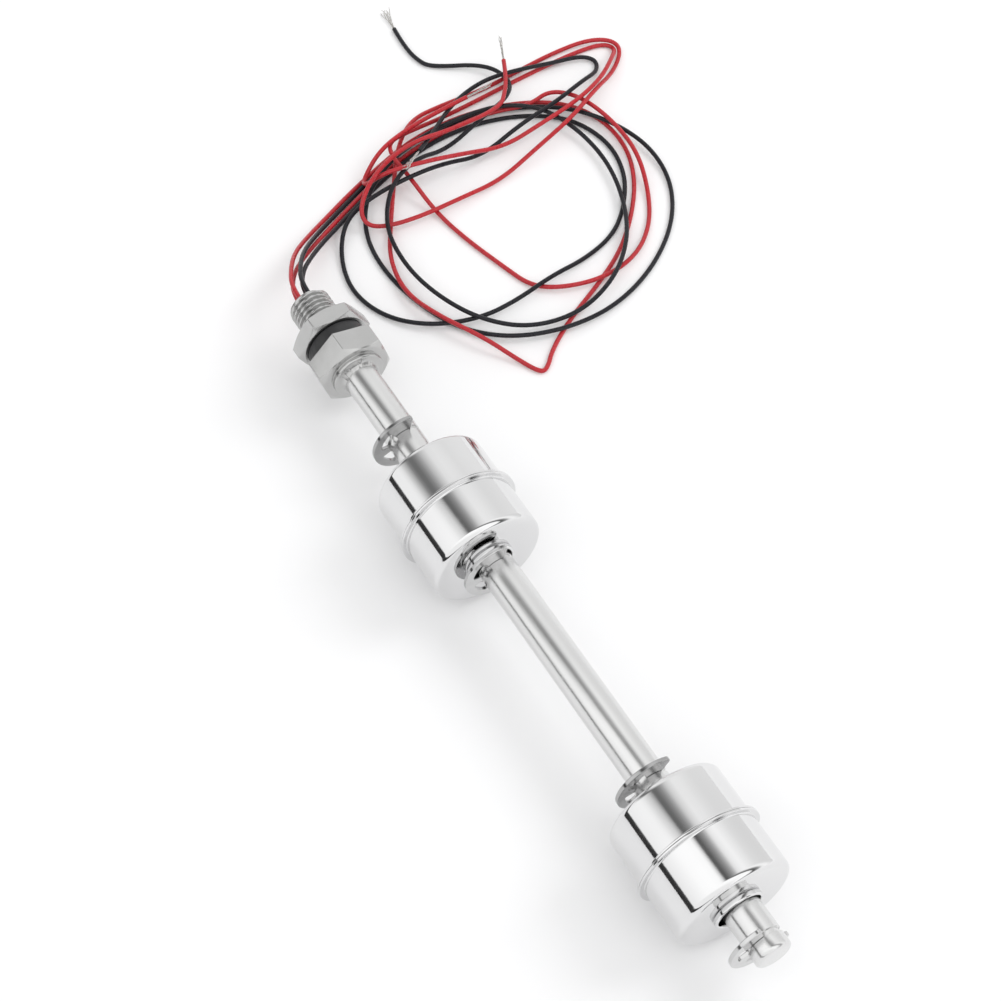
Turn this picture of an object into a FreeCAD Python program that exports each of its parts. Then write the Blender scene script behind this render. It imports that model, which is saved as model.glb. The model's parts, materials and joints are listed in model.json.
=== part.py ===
"""Stainless float level switch with two floats, lying at rest on a flat surface.

Millimetres. +X runs along the stem from the thread to the closed tip, +Z is up, and
Z = 0 is the surface that the two float flanges rest on. Stations along the stem are
measured from the sealing face of the hexagon, towards the tip, and shifted once by
`mid_station` so that the origin lies under the middle of the rigid body.
"""
import FreeCAD, Part
import math
import os

os.makedirs("parts", exist_ok=True)
V = FreeCAD.Vector
AXIS = V(1, 0, 0)

# ---------------------------------------------------------------- driving dimensions
stem_d = 8.0
stem_wall = 1.0
stem_reach = 167.1          # sealing face of the hexagon to the closed tip
stem_socket = 5.5           # length of tube held inside the fitting
tip_round = 0.9
tip_plug_length = 3.8

hex_across_flats = 16.0
hex_thickness = 6.2
hex_turn = 45.0             # a corner's angle from +Y towards +Z
hex_chamfer_run = 1.2       # axial depth of the turned chamfer on the stem side
stud_d = 10.0
stud_length = 16.6
stud_chamfer = 0.45
stud_bore_d = 6.8
collar_d = 12.4
collar_height = 1.1
collar_round = 0.7
weld_leg = 1.3              # concave weld between collar and stem

nut_thickness = 4.2
nut_chamfer_run = 0.8
nut_turn = 1.0
gasket_d = 14.3
gasket_thickness = 3.6
gasket_round = 0.5

clip_d = 15.2               # retaining clip for a groove of groove_d
clip_thickness = 0.9
clip_offset = 0.35          # the outside's centre lies this far towards the back
clip_mouth = 6.6
clip_corner = 0.9           # round at the outer corners of the mouth
clip_window_reach = 6.4     # outer radius of the windows between the prongs
clip_windows = ((-22.0, 22.0), (48.0, 95.0), (-95.0, -48.0))  # degrees from the back
groove_d = 7.0
groove_play = 0.1           # groove width beyond the clip's thickness

float_d = 25.8
float_height = 25.4         # over the two flat end faces
float_flange_d = 28.0
float_sheet = 0.5
float_corner = 1.4          # outer radius of the pressed corner
bore_d = 9.6                # inside of the sleeve that runs on the stem
sleeve_wall = 0.4
lip_stand = 1.3             # how far the rolled lip stands proud of the end face
lip_roll = 0.35             # how far the rolled lip bulges past the sleeve
magnet_d = 17.0
magnet_height = 8.0

upper_stop_station = 27.1   # thread-side face of the first clip
lower_stop_from_tip = 4.2   # thread-side face of the last clip, from the stem's tip
float_travel = 10.0         # free slide between a pair of clips
rest_gaps = (0.5, 6.5)      # from each float at rest to its clip on the tip side
clip_back_angles = ((222.0, 221.0), (206.0, 217.0))  # (top, bottom) of each float

reed_glass_d = 2.0
reed_glass_length = 14.0
reed_glass_wall = 0.25
reed_lead_d = 0.5
reed_lead_length = 8.0      # outside the glass, each end
reed_blade_width = 1.2
reed_blade_thickness = 0.18
reed_overlap = 1.2
reed_gap = 0.12
reed_shrink_wall = 0.35
reed_shrink_over = 1.5      # how far the shrink sleeve passes the glass, each end
lead_crossing = 6.0         # length in which an inner wire changes its place in the bore
lead_approach = 12.0        # from the lower reed's near lead back to its wire's crossing

wire_d = 1.1
strand_d = 0.8              # bare, tinned end of a wire
strand_length = 8.5
wire_pitch_y = 1.25         # half spacing of the four wires in the potting
wire_pitch_z = 1.15
potting_length = 9.0

fit_clearance = 0.03        # radial gap between pieces that are assembled and stay put
running_clearance = 0.08    # radial gap left where a float's bore lies on the stem

# ---------------------------------------------------------------- derived values
stem_r = stem_d / 2
stem_bore_r = stem_r - stem_wall
stud_r = stud_d / 2
flange_r = float_flange_d / 2
sleeve_r = bore_d / 2 + sleeve_wall
mid_station = (stem_reach - stud_length) / 2
float_half_height = float_height / 2 + lip_stand
stop_spacing = 2 * float_half_height + clip_thickness + float_travel
lower_stop_station = stem_reach - lower_stop_from_tip
clip_stations = ((upper_stop_station, upper_stop_station + stop_spacing),
                 (lower_stop_station - stop_spacing, lower_stop_station))
stop_centres = [(first + last + clip_thickness) / 2 for first, last in clip_stations]
float_stations = [last - gap - float_half_height for (first, last), gap in zip(clip_stations, rest_gaps)]
socket_floor = hex_thickness + collar_height - stem_socket

bore_play = bore_d / 2 - stem_r - running_clearance
stem_lean = math.radians(-35.0)      # direction in which the stem lies against the bores
stem_y = bore_play * math.cos(stem_lean)
stem_z = flange_r + bore_play * math.sin(stem_lean)
stem_axis = V(-mid_station, stem_y, stem_z)
float_axis = V(-mid_station, 0, flange_r)


# ---------------------------------------------------------------- shape helpers
class Profile:
    """A closed outline in the plane of axial station x and radius r."""

    def __init__(self, x, r):
        self.start = self.here = V(x, r, 0)
        self.edges = []

    def line(self, x, r):
        end = V(x, r, 0)
        self.edges.append(Part.LineSegment(self.here, end).toShape())
        self.here = end
        return self

    def arc(self, x_mid, r_mid, x, r):
        end = V(x, r, 0)
        self.edges.append(Part.Arc(self.here, V(x_mid, r_mid, 0), end).toShape())
        self.here = end
        return self

    def round(self, x_corner, r_corner, x, r):
        """A quarter round from here to (x, r), bulging towards the given corner."""
        centre = V(self.here.x + x - x_corner, self.here.y + r - r_corner, 0)
        corner = V(x_corner, r_corner, 0)
        radius = (self.here - centre).Length
        middle = centre + (corner - centre).normalize() * radius
        return self.arc(middle.x, middle.y, x, r)

    def turned(self):
        self.edges.append(Part.LineSegment(self.here, self.start).toShape())
        face = Part.Face(Part.Wire(self.edges))
        return face.revolve(V(0, 0, 0), AXIS, 360)


def ring(x0, x1, r_outer, r_inner):
    return Profile(x0, r_inner).line(x1, r_inner).line(x1, r_outer).line(x0, r_outer).turned()


def disc(x0, x1, r, y=0.0, z=0.0):
    return Part.makeCylinder(r, x1 - x0, V(x0, y, z), AXIS)


def hexagon(x0, x1, across_flats, turn):
    corner_r = across_flats / math.sqrt(3)
    angles = [math.radians(turn + 60 * k) for k in range(7)]
    corners = [V(x0, corner_r * math.cos(a), corner_r * math.sin(a)) for a in angles]
    return Part.Face(Part.makePolygon(corners)).extrude(V(x1 - x0, 0, 0))


def path_with_arcs(points):
    """Straight runs joined by tangent arcs. Returns the wire, its length and the radii."""
    edges = []
    radii = []
    length = 0.0
    here = points[0]
    for before, corner, after in zip(points, points[1:], points[2:]):
        back = before - corner
        ahead = after - corner
        setback = 0.45 * min(back.Length, ahead.Length)
        half_turn = (math.pi - back.getAngle(ahead)) / 2
        radius = setback / math.tan(half_turn)
        back.normalize()
        ahead.normalize()
        arc_start = corner + back * setback
        arc_end = corner + ahead * setback
        inward = (back + ahead).normalize()
        middle = corner + inward * (radius / math.cos(half_turn) - radius)
        edges.append(Part.LineSegment(here, arc_start).toShape())
        edges.append(Part.Arc(arc_start, middle, arc_end).toShape())
        length += (arc_start - here).Length + radius * 2 * half_turn
        radii.append(radius)
        here = arc_end
    edges.append(Part.LineSegment(here, points[-1]).toShape())
    length += (points[-1] - here).Length
    return Part.Wire(edges), length, radii


def tube_along(points, diameter, name):
    """A round cord along the route; prints its length, radii and volume ratio."""
    path, length, radii = path_with_arcs(points)
    direction = (points[1] - points[0]).normalize()
    section = Part.Wire(Part.makeCircle(diameter / 2, points[0], direction))
    solid = path.makePipeShell([section], True, False)
    ideal = math.pi * diameter ** 2 / 4 * length
    print("%s: length %.1f, volume ratio %.4f, radii %s" % (
        name, length, solid.Volume / ideal, " ".join("%.1f" % r for r in radii)))
    return solid


def save(shape, name, place=None):
    if place is not None:
        shape = shape.translated(place)
    if not shape.isValid():
        raise ValueError("%s is not a valid shape" % name)
    shape.exportStep("parts/%s.step" % name)


# ---------------------------------------------------------------- fitting, nut and gasket
def chamfered_hexagon(x0, x1, across_flats, turn, chamfer_at_x0, chamfer_at_x1):
    """A hexagon whose corners are turned off by a cone at one or both ends."""
    flat_r = across_flats / 2
    corner_r = across_flats / math.sqrt(3) + 0.01
    rim_r = flat_r - 0.25
    cone = Profile(x0, 0)
    cone.line(x0, rim_r if chamfer_at_x0 else corner_r)
    if chamfer_at_x0:
        cone.line(x0 + chamfer_at_x0, corner_r)
    if chamfer_at_x1:
        cone.line(x1 - chamfer_at_x1, corner_r)
    cone.line(x1, rim_r if chamfer_at_x1 else corner_r)
    cone.line(x1, 0)
    return hexagon(x0, x1, across_flats, turn).common(cone.turned())


def threaded_hex_fitting():
    """Stud, hexagon and welding collar, turned from one bar and drilled through."""
    head = chamfered_hexagon(0, hex_thickness, hex_across_flats, hex_turn, 0, hex_chamfer_run)
    stud = Profile(-stud_length, 0).line(-stud_length, stud_r - stud_chamfer)
    stud.line(-stud_length + stud_chamfer, stud_r).line(hex_thickness / 2, stud_r)
    stud.line(hex_thickness / 2, 0)
    collar_r = collar_d / 2
    collar_face = hex_thickness + collar_height
    weld_r = stem_r + weld_leg
    collar = Profile(hex_thickness / 2, 0).line(hex_thickness / 2, collar_r)
    collar.line(collar_face - collar_round, collar_r)
    collar.round(collar_face, collar_r, collar_face, collar_r - collar_round)
    collar.line(collar_face, weld_r)
    sag = weld_leg * (1 - math.sqrt(0.5))
    collar.arc(collar_face + sag, stem_r + sag, collar_face + weld_leg, stem_r)
    collar.line(collar_face + weld_leg, 0)
    body = head.fuse([stud.turned(), collar.turned()]).removeSplitter()
    body = body.cut(disc(-stud_length - 1, socket_floor + 1, stud_bore_d / 2))
    return body.cut(disc(socket_floor, collar_face + weld_leg + 1, stem_r + fit_clearance))


def lock_nut():
    near = -gasket_thickness
    far = near - nut_thickness
    blank = chamfered_hexagon(far, near, hex_across_flats, nut_turn, nut_chamfer_run, nut_chamfer_run)
    return blank.cut(disc(far - 1, near + 1, stud_r + fit_clearance))


def sealing_gasket():
    outer_r = gasket_d / 2
    inner_r = stud_r + 2 * fit_clearance
    shape = Profile(-gasket_thickness, inner_r).line(0, inner_r).line(0, outer_r - gasket_round)
    shape.round(0, outer_r, -gasket_round, outer_r).line(gasket_round - gasket_thickness, outer_r)
    shape.round(-gasket_thickness, outer_r, -gasket_thickness, outer_r - gasket_round)
    return shape.turned()


# ---------------------------------------------------------------- stem and clips
def stem_tube():
    tube = Profile(socket_floor, stem_bore_r).line(socket_floor, stem_r)
    tube.line(stem_reach - tip_round, stem_r)
    tube.round(stem_reach, stem_r, stem_reach, stem_r - tip_round)
    tube.line(stem_reach, stem_bore_r)
    shape = tube.turned()
    for pair in clip_stations:
        for station in pair:
            groove_start = station - groove_play / 2
            groove_end = station + clip_thickness + groove_play / 2
            shape = shape.cut(ring(groove_start, groove_end, stem_r + 1, groove_d / 2))
    return shape


def stem_tip_plug():
    return disc(stem_reach - tip_plug_length, stem_reach, stem_bore_r - fit_clearance)


def sector(x0, x1, r_inner, r_outer, from_angle, to_angle):
    """Part of a ring, its angles in degrees counted from +Y towards +Z."""
    def at(r, angle):
        return V(x0, r * math.cos(math.radians(angle)), r * math.sin(math.radians(angle)))
    middle = (from_angle + to_angle) / 2
    edges = [
        Part.LineSegment(at(r_inner, from_angle), at(r_outer, from_angle)).toShape(),
        Part.Arc(at(r_outer, from_angle), at(r_outer, middle), at(r_outer, to_angle)).toShape(),
        Part.LineSegment(at(r_outer, to_angle), at(r_inner, to_angle)).toShape(),
        Part.Arc(at(r_inner, to_angle), at(r_inner, middle), at(r_inner, from_angle)).toShape(),
    ]
    return Part.Face(Part.Wire(edges)).extrude(V(x1 - x0, 0, 0))


def retaining_clip(station, back_angle):
    """A sprung clip with prongs in the groove, windows between them and an open mouth."""
    x0 = station
    x1 = station + clip_thickness
    seat_r = groove_d / 2 + fit_clearance
    body = disc(x0, x1, clip_d / 2, clip_offset).cut(disc(x0 - 1, x1 + 1, seat_r))
    for window in clip_windows:
        body = body.cut(sector(x0 - 1, x1 + 1, seat_r - 0.5, clip_window_reach, *window))
    mouth = Part.makeBox(clip_thickness + 2, clip_d, clip_mouth, V(x0 - 1, -clip_d, -clip_mouth / 2))
    body = body.cut(mouth)
    corners = [edge for edge in body.Edges
               if edge.BoundBox.XLength > clip_thickness / 2
               and math.hypot(edge.CenterOfMass.y - clip_offset, edge.CenterOfMass.z) > clip_d / 2 - 0.1]
    body = body.makeFillet(clip_corner, corners)
    body.rotate(V(0, 0, 0), AXIS, back_angle)
    return body


# ---------------------------------------------------------------- floats
def float_half(flange_station, side):
    """One pressed half shell: flat end, rounded corner, wall and half of the flange."""
    def x(distance):
        return flange_station + side * distance
    top = float_height / 2
    outer = float_d / 2
    inner = outer - float_sheet
    inner_corner = float_corner - float_sheet
    hole = sleeve_r + fit_clearance
    shape = Profile(x(top), hole).line(x(top), outer - float_corner)
    shape.round(x(top), outer, x(top - float_corner), outer)
    shape.line(x(float_sheet), outer).line(x(float_sheet), flange_r).line(x(0), flange_r)
    shape.line(x(0), inner).line(x(top - float_corner), inner)
    shape.round(x(top - float_sheet), inner, x(top - float_sheet), inner - inner_corner)
    shape.line(x(top - float_sheet), hole)
    return shape.turned()


def float_sleeve(flange_station):
    """The tube that runs on the stem, rolled over to a small lip at both ends."""
    face = float_height / 2
    end = face + lip_stand
    bulge_r = sleeve_r + lip_roll
    bore_r = bore_d / 2
    shape = Profile(flange_station - end, bore_r + sleeve_wall / 2)
    shape.arc(flange_station - face - lip_stand / 2, bulge_r, flange_station - face, sleeve_r)
    shape.line(flange_station + face, sleeve_r)
    shape.arc(flange_station + face + lip_stand / 2, bulge_r, flange_station + end, bore_r + sleeve_wall / 2)
    shape.line(flange_station + end - sleeve_wall / 2, bore_r)
    shape.line(flange_station - end + sleeve_wall / 2, bore_r)
    return shape.turned()


def float_magnet(flange_station):
    half = magnet_height / 2
    return ring(flange_station - half, flange_station + half, magnet_d / 2, sleeve_r + fit_clearance)


# ---------------------------------------------------------------- reed switches
reed_drop = stem_bore_r - reed_glass_d / 2 - reed_shrink_wall - 5 * fit_clearance


def reed_glass(centre):
    """A closed glass tube with rounded ends, sealed round the two leads."""
    half = reed_glass_length / 2
    outer_r = reed_glass_d / 2
    inner_r = outer_r - reed_glass_wall
    lead_r = reed_lead_d / 2 + fit_clearance / 3
    seal = 1.6
    dome = outer_r - lead_r
    shape = Profile(centre - half, lead_r)
    shape.round(centre - half, outer_r, centre - half + dome, outer_r)
    shape.line(centre + half - dome, outer_r)
    shape.round(centre + half, outer_r, centre + half, lead_r)
    shape.line(centre + half - seal, lead_r).line(centre + half - seal - 0.5, inner_r)
    shape.line(centre - half + seal + 0.5, inner_r).line(centre - half + seal, lead_r)
    return shape.turned()


def reed_blade(centre, side):
    """One lead with its end rolled flat inside the glass, towards the other blade."""
    half = reed_glass_length / 2
    flat_start = half - 2.4
    outer = sorted((centre + side * (half + reed_lead_length), centre + side * flat_start))
    lead = disc(outer[0], outer[1], reed_lead_d / 2)
    inner = sorted((centre + side * (flat_start + 0.3), centre - side * reed_overlap / 2))
    low = reed_gap / 2 if side > 0 else -reed_gap / 2 - reed_blade_thickness
    blade = Part.makeBox(inner[1] - inner[0], reed_blade_width, reed_blade_thickness,
                         V(inner[0], -reed_blade_width / 2, low))
    return lead.fuse(blade).removeSplitter()


def reed_shrink_sleeve(centre):
    half = reed_glass_length / 2 + reed_shrink_over
    inner_r = reed_glass_d / 2 + fit_clearance
    return ring(centre - half, centre + half, inner_r + reed_shrink_wall, inner_r)


# ---------------------------------------------------------------- wires inside the stem
exits = {
    "red_1": (-wire_pitch_y, wire_pitch_z),
    "black_1": (wire_pitch_y, wire_pitch_z),
    "red_2": (-wire_pitch_y, -wire_pitch_z),
    "black_2": (wire_pitch_y, -wire_pitch_z),
}
lead_perch = -reed_drop + reed_lead_d / 2 + wire_d / 2 + fit_clearance


def potting_plug():
    plug = disc(-stud_length, potting_length - stud_length, stud_bore_d / 2 - fit_clearance)
    for y, z in exits.values():
        plug = plug.cut(disc(-stud_length - 1, potting_length, wire_d / 2 + fit_clearance, y, z))
    return plug


def inner_lead(name, lane, bend_station, end_station):
    """A wire from the potting's face along a lane of the bore to one reed lead."""
    y, z = exits[name]
    points = [V(-stud_length, y, z), V(-stud_length + potting_length + 5, y, z),
              V(socket_floor + lead_crossing, *lane)]
    if bend_station is not None:
        points += [V(bend_station, *lane), V(bend_station + lead_crossing, 0, lead_perch)]
    points.append(V(end_station, 0, lead_perch) if bend_station is not None else V(end_station, *lane))
    return tube_along(points, wire_d, "inner lead " + name)


# ---------------------------------------------------------------- free wires
# Each route starts at the potting's face and ends where the insulation ends.
wire_routes = {
    "red_1": [
        (-97.4, -0.7, 14.7), (-104.4, 2.6, 12.4), (-111.1, 7, 8.6), (-117.1, 13.3, 4.3), (-122.3, 21, 1.5),
        (-126.7, 29.5, 0.6), (-130.8, 40, 0.6), (-134.3, 51, 0.6), (-135.3, 62, 0.6), (-134.1, 73, 0.6),
        (-130.6, 83.5, 0.6), (-124.5, 92, 0.6), (-115, 96.5, 0.6), (-104, 96.3, 0.6), (-94, 92, 0.6),
        (-85, 85, 0.6), (-77, 76.5, 0.6), (-71, 66, 0.6), (-66, 55.5, 0.6), (-60.5, 47, 0.6),
        (-56.2, 42.9, 0.6), (-56.2, 41, 0.6), (-61, 38.8, 0.6), (-70, 34, 3.2), (-80.5, 28.5, 3.2),
        (-92, 25.5, 1.8), (-103, 27.6, 1.8), (-113, 33.6, 0.6), (-123, 40.3, 2.2), (-133, 47, 2.2),
        (-139.5, 54.5, 1.8), (-140.8, 64, 0.6), (-140, 75.5, 0.6), (-141, 87, 0.6), (-141.8, 98, 0.6),
        (-140.6, 107.5, 1.4), (-137.3, 113, 1.5), (-132.8, 113.2, 1.5), (-128, 107.5, 0.6),
        (-122.5, 98.5, 4.2), (-117.3, 88, 4.2), (-113.8, 76, 3.5), (-111.5, 64, 0.6), (-110.3, 52, 2.2),
        (-110.2, 41, 2.3), (-111.6, 32.5, 2.1), (-114.2, 28, 2.2), (-117.6, 27.8, 4.4),
        (-121.5, 32.5, 7.6), (-125.8, 40, 7.6), (-127.6, 49, 8.1), (-126.2, 58, 8.1), (-128.3, 73.9, 5.5),
        (-132.3, 77.8, 5.5), (-137.2, 81.1, 5.2), (-142, 83.3, 5.5),
    ],
    "black_1": [
        (-97.4, 1.8, 14.7), (-104.1, 4.9, 12.4), (-110.4, 9.1, 8.7), (-116.1, 14.6, 4.4),
        (-121.2, 21.7, 1.5), (-125.6, 30.2, 0.6), (-129.6, 40, 0.6), (-133, 51, 1.3), (-134, 62, 0.6),
        (-132.8, 73, 0.6), (-129, 83, 0.6), (-122, 91, 1.8), (-112.5, 97.5, 1.8), (-101, 101, 1.5),
        (-89, 99.5, 0.6), (-77.5, 92, 0.6), (-68.5, 80, 0.6), (-63.3, 66.5, 1), (-62.8, 53, 1.9),
        (-67, 40.5, 1.9), (-76, 32, 0.6), (-88, 27, 0.6), (-101, 25, 0.6), (-113, 26.5, 0.6),
        (-122.5, 32, 1.8), (-128.5, 41.5, 3.5), (-131.8, 53, 3.5), (-132.8, 65, 3.1), (-131, 76.5, 3.2),
        (-124.5, 84.5, 3.2), (-114, 88.8, 1.8), (-101.5, 89, 1.8), (-89, 85.5, 1.8), (-77.5, 79, 3),
        (-69, 69.5, 3), (-65.3, 57.5, 1.8), (-67.5, 45, 2.1), (-75, 36, 3.2), (-86.5, 31, 3.2),
        (-99, 29.5, 2.4), (-111, 31, 3.4), (-119.5, 37.5, 6.3), (-124, 47, 6.3), (-127, 57.5, 0.6),
        (-128.6, 68.5, 4.4), (-131.5, 78.5, 4.4), (-138.5, 83.2, 1.8), (-146.5, 80.5, 1.8),
        (-153.6, 69, 0.6), (-157.4, 67, 0.6), (-164.3, 66.6, 0.6), (-170.6, 67.5, 0.6),
    ],
    "red_2": [
        (-97.4, -0.7, 12.4), (-103.9, 2.9, 10.4), (-109.6, 7.9, 6.7), (-115.1, 14.4, 3.4),
        (-120, 22.3, 1.3), (-124.4, 30.8, 0.6), (-128.3, 40.2, 0.6), (-131.6, 51.1, 0.6),
        (-132.7, 61.7, 0.6), (-131.4, 72.6, 1.9), (-128.1, 82.4, 2), (-130, 89.6, 2), (-123.5, 94.5, 3),
        (-112.5, 97, 3), (-100, 96.6, 2.9), (-88.5, 92.5, 0.6), (-79.5, 86.5, 0.6), (-73, 78, 1.7),
        (-71.4, 68, 1.8), (-73.8, 58.5, 1.8), (-79, 52.6, 0.6), (-88, 50, 0.6), (-99, 47, 0.6),
        (-110.5, 45, 0.6), (-121.5, 43.6, 4.6), (-129.5, 43.2, 4.6), (-133.7, 45.2, 4.6), (-135, 52, 3.3),
        (-136.2, 62, 1.6), (-137.6, 73, 0.6), (-138.4, 84, 0.6), (-138.9, 95, 0.6), (-138.9, 105, 0.6),
        (-137.8, 111, 0.6), (-134.9, 112.6, 0.6), (-130.5, 108.8, 3.4), (-124.6, 101.5, 4.6),
        (-121.2, 92, 4.6), (-119.8, 81, 3.9), (-119, 69.5, 2.4), (-119.4, 58, 6.1), (-121.2, 47, 7.5),
        (-122.8, 37.5, 7.5), (-124.8, 33.4, 3.5), (-128, 34.4, 1.8), (-131.2, 41, 5.8), (-133.8, 50, 5.8),
        (-135.4, 59.5, 5.3), (-136, 68.8, 5.3),
    ],
    "black_2": [
        (-97.4, 1.8, 12.4), (-103.6, 5.2, 10.4), (-108.9, 9.9, 7), (-114.1, 15.7, 3.7), (-118.9, 23, 1.3),
        (-123.3, 31.5, 0.6), (-127, 40.4, 0.6), (-130.3, 51.2, 0.6), (-131.4, 61.5, 0.6),
        (-130.1, 72.2, 0.6), (-126.2, 82, 0.6), (-119.5, 90, 0.6), (-108.5, 93.5, 0.6), (-98, 91.5, 0.6),
        (-89.5, 86, 0.6), (-82.5, 78.5, 0.6), (-79.5, 68.5, 0.6), (-78, 57.5, 2.3), (-76, 47, 2.3),
        (-76, 37, 1.9), (-80, 26, 1.9), (-88.5, 18.5, 0.6), (-99, 15.3, 0.6), (-109.5, 17.8, 0.6),
        (-117.2, 23, 2.6), (-120.6, 30, 3), (-120.3, 40, 5.3), (-120, 52, 5.3), (-120.6, 64, 0.6),
        (-122, 76, 4.2), (-124, 88, 4.2), (-127, 98, 3.9), (-130.4, 104.2, 0.6), (-134, 106.2, 0.6),
        (-136.6, 103, 1.4), (-138, 95, 1.8), (-139.3, 85.5, 3.2), (-140.6, 77, 3.2), (-139.4, 69, 2.6),
        (-134.5, 61.5, 4.5), (-128.3, 54, 6.4), (-124.5, 48.5, 7.7),
    ],
}


def wire_start(name):
    y, z = exits[name]
    return stem_axis + V(-stud_length, y, z)


def free_wire(name):
    """The free length of one wire, and the tinned strand that follows it."""
    points = [wire_start(name)] + [V(*point) for point in wire_routes[name]]
    wire = tube_along(points, wire_d, name + " wire")
    direction = (points[-1] - points[-2]).normalize()
    strand = Part.makeCylinder(strand_d / 2, strand_length, points[-1], direction)
    return wire, strand


# ---------------------------------------------------------------- build and write
save(threaded_hex_fitting(), "threaded_hex_fitting", stem_axis)
save(lock_nut(), "lock_nut", stem_axis)
save(sealing_gasket(), "sealing_gasket", stem_axis)
save(stem_tube(), "stem_tube", stem_axis)
save(stem_tip_plug(), "stem_tip_plug", stem_axis)
save(potting_plug(), "potting_plug", stem_axis)

for level, flange_station, stations, angles, centre in zip(
        ("upper", "lower"), float_stations, clip_stations, clip_back_angles, stop_centres):
    for where, station, angle in zip(("top", "bottom"), stations, angles):
        save(retaining_clip(station, angle), "%s_float_%s_clip" % (level, where), stem_axis)
    save(float_half(flange_station, -1), level + "_float_top_shell", float_axis)
    save(float_half(flange_station, 1), level + "_float_bottom_shell", float_axis)
    save(float_sleeve(flange_station), level + "_float_sleeve", float_axis)
    save(float_magnet(flange_station), level + "_float_magnet", float_axis)
    reed_axis = stem_axis + V(0, 0, -reed_drop)
    save(reed_glass(centre), level + "_reed_glass", reed_axis)
    save(reed_blade(centre, -1), level + "_reed_near_blade", reed_axis)
    save(reed_blade(centre, 1), level + "_reed_far_blade", reed_axis)
    save(reed_shrink_sleeve(centre), level + "_reed_shrink_sleeve", reed_axis)

near_end = [centre - reed_glass_length / 2 - reed_shrink_over - 0.5 for centre in stop_centres]
far_end = [centre + reed_glass_length / 2 + reed_lead_length - 0.5 for centre in stop_centres]
past_reed = [centre + reed_glass_length / 2 + reed_shrink_over for centre in stop_centres]
high_lane = 1.6
side_lane = 1.3
save(inner_lead("red_2", (0, lead_perch), None, near_end[0]), "upper_reed_near_lead", stem_axis)
save(inner_lead("black_2", (2.35, 0.3), past_reed[0] - 2, far_end[0]), "upper_reed_far_lead", stem_axis)
save(inner_lead("red_1", (-side_lane, high_lane), near_end[1] - lead_approach, near_end[1]),
     "lower_reed_near_lead", stem_axis)
save(inner_lead("black_1", (side_lane, high_lane), past_reed[1] - 2, far_end[1]),
     "lower_reed_far_lead", stem_axis)

for name in exits:
    wire, strand = free_wire(name)
    save(wire, name + "_wire")
    save(strand, name + "_tinned_end")
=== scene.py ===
"""Looks for a stainless float level switch: polished floats on a slim stem, a threaded
hexagonal fitting, retaining clips and four loose lead wires on a pale floor.

Lengths are in millimetres and are scaled by MM where they become Blender's metres.
+X runs along the stem, from the thread to the closed tip, and +Z is up.
"""
import json
import math

import bmesh
import bpy
from mathutils import Matrix, Vector


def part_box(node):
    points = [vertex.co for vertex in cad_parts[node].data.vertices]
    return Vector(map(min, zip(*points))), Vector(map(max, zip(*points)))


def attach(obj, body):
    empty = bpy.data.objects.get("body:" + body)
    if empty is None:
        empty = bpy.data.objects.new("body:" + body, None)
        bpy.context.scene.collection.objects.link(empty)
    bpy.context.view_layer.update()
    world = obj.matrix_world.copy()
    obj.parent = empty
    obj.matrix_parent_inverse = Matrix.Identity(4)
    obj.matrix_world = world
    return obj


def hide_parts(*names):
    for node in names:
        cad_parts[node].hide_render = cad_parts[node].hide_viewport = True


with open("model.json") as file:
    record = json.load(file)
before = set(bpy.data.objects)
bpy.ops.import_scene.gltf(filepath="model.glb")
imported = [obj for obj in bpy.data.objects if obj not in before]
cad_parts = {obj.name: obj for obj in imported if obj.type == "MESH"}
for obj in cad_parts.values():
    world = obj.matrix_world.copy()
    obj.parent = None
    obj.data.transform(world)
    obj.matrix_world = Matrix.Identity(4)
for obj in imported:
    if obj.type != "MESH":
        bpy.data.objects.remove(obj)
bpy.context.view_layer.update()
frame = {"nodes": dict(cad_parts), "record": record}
MM = 0.001


def low(node):
    """Lowest corner of a CAD node's box."""
    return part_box(node)[0] / MM


def high(node):
    """Highest corner of a CAD node's box."""
    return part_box(node)[1] / MM


def middle(node):
    """Middle of a CAD node's box."""
    return (low(node) + high(node)) / 2


# ---------------------------------------------------------------- places, from the frame
SEAL_X = high("sealing_gasket").x           # face of the hexagon that the gasket seals on
NUT_X = low("sealing_gasket").x
NUT_END_X = low("lock_nut").x
THREAD_END_X = low("threaded_hex_fitting").x
WELD_END_X = high("threaded_hex_fitting").x
TIP_X = high("stem_tube").x
STEM_AXIS = (middle("stem_tube").y, middle("stem_tube").z)
FLOAT_AXIS = (middle("upper_float_top_shell").y, middle("upper_float_top_shell").z)

# ---------------------------------------------------------------- sizes that the look adds
EDGE = 0.16                 # rounding of machined edges
HEX_FLATS = 16.0
HEX_HEIGHT = 6.2
HEX_CHAMFER = 1.2
HEX_TURN = 45.0
NUT_CHAMFER = 0.8
NUT_TURN = 1.0
COLLAR_D = 12.4
COLLAR_HEIGHT = 1.1
COLLAR_ROUND = 0.7
WELD_LEG = 1.3
STUD_D = 10.0
STUD_CHAMFER = 0.45
THREAD_PITCH = 1.25
THREAD_DEPTH = 0.70
STUD_BORE_D = 6.8
STEM_D = 8.0
STEM_TIP_ROUND = 0.9
GROOVE_D = 7.0
GROOVE_WIDTH = 1.0
GASKET_D = 14.3
GASKET_ROUND = 0.5
CLIP_D = 15.2
CLIP_OFFSET = 0.35          # the outside's centre lies this far towards the back
CLIP_SEAT_D = 7.06
CLIP_WINDOW_D = 12.2
CLIP_ARM_END = 116.0        # degrees from the back, as are the window's two ends
CLIP_WINDOW_END = 58.0
CLIP_WINDOW_START = 12.0
CLIP_CORNER = 7.0           # degrees that the arm's rounded corner takes
CLIP_TIP_SHARE = 0.24       # share of the arm's end edge that the same corner takes
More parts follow.
